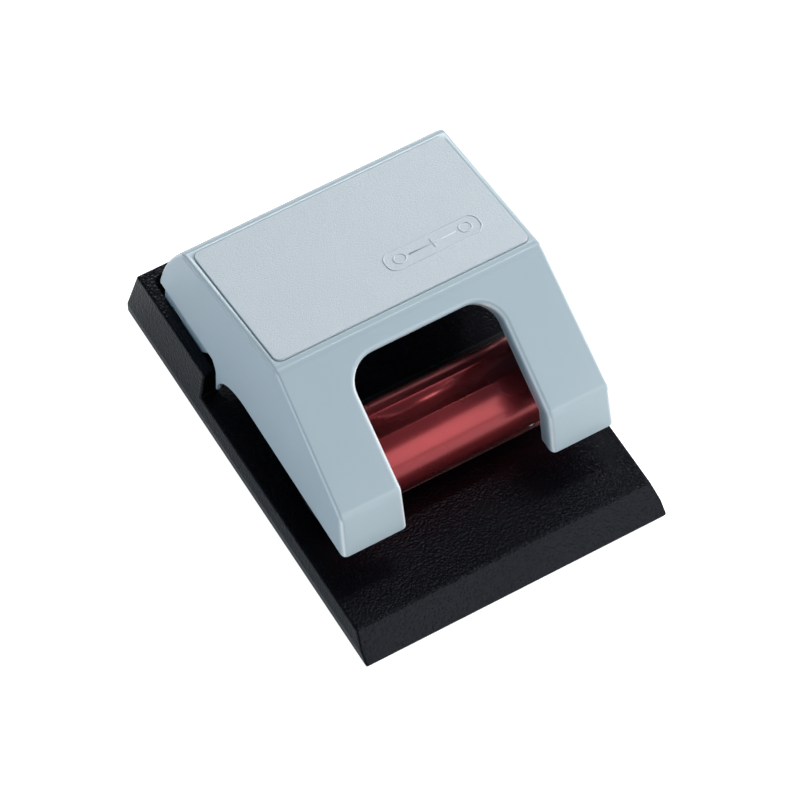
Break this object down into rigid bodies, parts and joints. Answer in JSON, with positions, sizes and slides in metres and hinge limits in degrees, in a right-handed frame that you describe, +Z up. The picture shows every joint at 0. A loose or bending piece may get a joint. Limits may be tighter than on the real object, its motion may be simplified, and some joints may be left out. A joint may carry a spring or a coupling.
{
  "type": "two-hole desk punch",
  "caption": "Desk hole punch: bevelled base with a hinged chip tray, a round housing with sliding pins, and a wide two-legged press lever with an open window.",
  "frame": {"origin": "on the table, at the middle of the base", "axes": "+Z up, +X to the right of someone facing the front, +Y from the front, where the paper goes in, to the back, where the lever is hinged; left and right mirror each other across X = 0"},
  "size_m": [0.112, 0.158, 0.0756],
  "materials": {
    "base_plastic": "black, finely grained",
    "cover_plastic": "blue-grey, satin",
    "panel_plastic": "blue-grey, finely grained",
    "tube_lacquer": "dark red gloss lacquer",
    "black_metal": "satin black",
    "ground_steel": "ground",
    "zinc": "zinc plated",
    "nylon": "natural white",
    "rubber": "black"
  },
  "bodies": {
    "base": {"base_housing": "base_plastic", "die_plate": "ground_steel", "die_screw_1": "zinc", "die_screw_2": "zinc", "die_screw_3": "zinc", "die_screw_4": "zinc", "punch_saddle": "black_metal", "saddle_screw_1": "zinc", "saddle_screw_2": "zinc", "saddle_screw_3": "zinc", "saddle_screw_4": "zinc", "punch_tube": "tube_lacquer", "tube_screw_left": "zinc", "tube_screw_right": "zinc", "guide_block_left": "black_metal", "guide_block_right": "black_metal", "guide_sleeve_left": "ground_steel", "guide_sleeve_right": "ground_steel", "punch_spring_left": "ground_steel", "punch_spring_right": "ground_steel", "pivot_bracket": "black_metal", "bracket_screw_1": "zinc", "bracket_screw_2": "zinc", "bracket_screw_3": "zinc", "bracket_screw_4": "zinc", "pivot_shaft": "ground_steel", "shaft_clip_left": "ground_steel", "shaft_clip_right": "ground_steel", "foot_rear_left": "rubber", "foot_rear_right": "rubber"},
    "lever": {"lever_cover": "cover_plastic", "top_panel": "panel_plastic", "press_plate_left": "ground_steel", "press_plate_right": "ground_steel", "press_screw_left_1": "zinc", "press_screw_left_2": "zinc", "press_screw_right_1": "zinc", "press_screw_right_2": "zinc", "lever_bush_left": "nylon", "lever_bush_right": "nylon"},
    "punch_left": {"punch_pin_left": "ground_steel", "spring_collar_left": "zinc"},
    "punch_right": {"punch_pin_right": "ground_steel", "spring_collar_right": "zinc"},
    "tray": {"chip_tray": "base_plastic", "foot_front_left": "rubber", "foot_front_right": "rubber"}
  },
  "joints": [
    {"name": "lever_press", "type": "hinge", "parent": "base", "child": "lever", "pos_m": [0, 0.0574, 0.017], "axis": [1, 0, 0], "range_deg": [0, 9], "stiffness_Nm_per_rad": 2, "springref_deg": -11.46},
    {"name": "punch_left_slide", "type": "slide", "parent": "base", "child": "punch_left", "axis": [0, 0, -1], "range_m": [0, 0.01292], "deforming": ["punch_spring_left"]},
    {"name": "punch_right_slide", "type": "slide", "parent": "base", "child": "punch_right", "axis": [0, 0, -1], "range_m": [0, 0.01292], "deforming": ["punch_spring_right"]},
    {"name": "chip_tray_hinge", "type": "hinge", "parent": "base", "child": "tray", "pos_m": [0, 0.0175, 0.0036], "axis": [1, 0, 0], "range_deg": [0, 60]}
  ],
  "couplings": [
    {"joint": "punch_left_slide", "follows": "lever_press", "m_per_rad": 0.08217},
    {"joint": "punch_right_slide", "follows": "lever_press", "m_per_rad": 0.08217}
  ]
}
